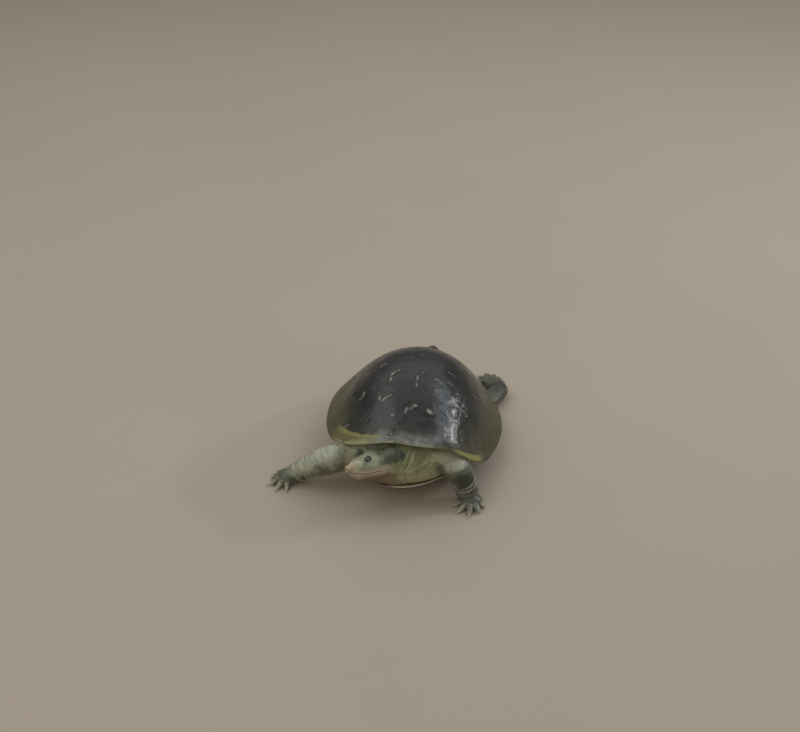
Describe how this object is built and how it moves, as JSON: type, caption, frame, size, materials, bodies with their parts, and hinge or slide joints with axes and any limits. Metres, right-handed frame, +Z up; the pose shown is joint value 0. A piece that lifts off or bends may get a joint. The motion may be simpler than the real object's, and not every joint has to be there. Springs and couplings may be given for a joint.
{
  "type": "indian flapshell turtle",
  "caption": "Life-size soft-shelled turtle in mid-step: a domed leathery shell with a flat belly plate, half-drawn neck, snorkel snout and webbed clawed feet.",
  "frame": {"origin": "centre of the bounding box's bottom, on the floor that the soles rest on", "axes": "+Z up; the turtle faces -Y and its left side is at +X"},
  "size_m": [0.2062, 0.2446, 0.0956],
  "materials": {
    "shell_skin": "wet gloss, charcoal green with pale flecks",
    "belly_skin": "satin cream",
    "body_skin": "damp satin, grey green",
    "eye_surface": "wet gloss",
    "claw_horn": "satin horn"
  },
  "bodies": {
    "root": {"carapace": "shell_skin", "plastron": "belly_skin", "flap_left": "belly_skin", "flap_right": "belly_skin", "eye_left": "eye_surface", "eye_right": "eye_surface", "head": "body_skin", "neck": "body_skin", "trunk": "body_skin", "tail": "body_skin", "leg_front_left": "body_skin", "foot_front_left": "body_skin", "claw_front_left_1": "claw_horn", "claw_front_left_2": "claw_horn", "claw_front_left_3": "claw_horn", "leg_front_right": "body_skin", "foot_front_right": "body_skin", "claw_front_right_1": "claw_horn", "claw_front_right_2": "claw_horn", "claw_front_right_3": "claw_horn", "leg_rear_left": "body_skin", "foot_rear_left": "body_skin", "claw_rear_left_1": "claw_horn", "claw_rear_left_2": "claw_horn", "claw_rear_left_3": "claw_horn", "leg_rear_right": "body_skin", "foot_rear_right": "body_skin", "claw_rear_right_1": "claw_horn", "claw_rear_right_2": "claw_horn", "claw_rear_right_3": "claw_horn"}
  },
  "joints": []
}
